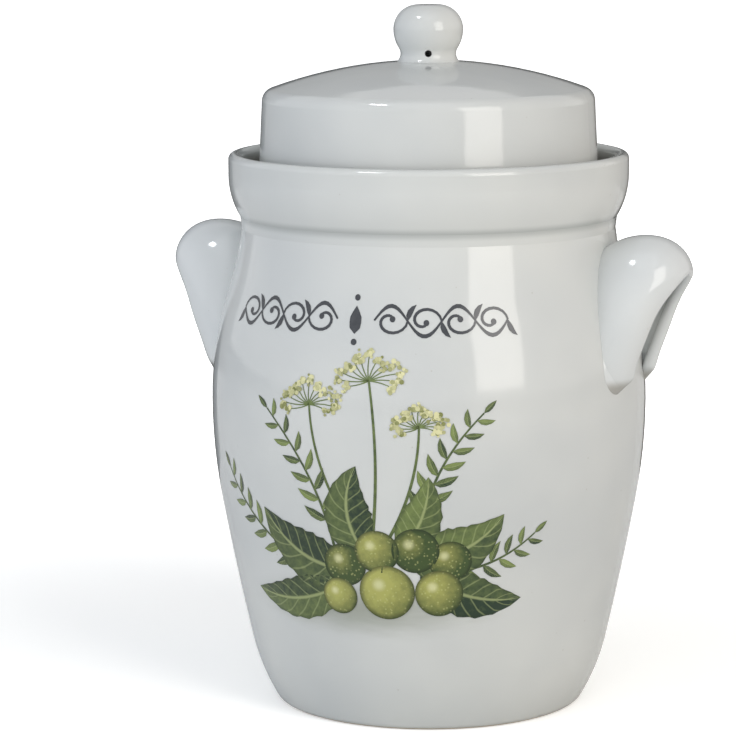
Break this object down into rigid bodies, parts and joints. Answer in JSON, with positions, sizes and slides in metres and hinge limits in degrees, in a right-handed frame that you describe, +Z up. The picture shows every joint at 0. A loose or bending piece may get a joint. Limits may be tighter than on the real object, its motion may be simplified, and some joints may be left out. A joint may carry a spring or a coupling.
{
  "type": "water seal pickle jar",
  "caption": "White glazed stoneware crock with a water gutter round its mouth, a bell lid with a vented knob, hood handles and split weight stones.",
  "frame": {"origin": "centre of the foot, on the surface that the jar stands on", "axes": "+Z up along the jar's axis, X through the two handles, the printed front faces -Y"},
  "size_m": [0.251, 0.2016, 0.3235],
  "materials": {
    "white_glaze": "gloss",
    "weight_stoneware": "matte"
  },
  "bodies": {
    "crock": {"crock_body": "white_glaze", "water_collar": "white_glaze", "handle_left": "white_glaze", "handle_right": "white_glaze"},
    "lid": {"lid_bell": "white_glaze", "lid_knob": "white_glaze"},
    "left_weight": {"weight_left": "weight_stoneware"},
    "right_weight": {"weight_right": "weight_stoneware"}
  },
  "joints": [
    {"name": "lid_lift", "type": "slide", "parent": "crock", "child": "lid", "axis": [0, 0, 1], "range_m": [0, 0.25]},
    {"name": "left_weight_lift", "type": "slide", "parent": "crock", "child": "left_weight", "axis": [0, 0, 1], "range_m": [0, 0.25]},
    {"name": "right_weight_lift", "type": "slide", "parent": "crock", "child": "right_weight", "axis": [0, 0, 1], "range_m": [0, 0.25]}
  ]
}
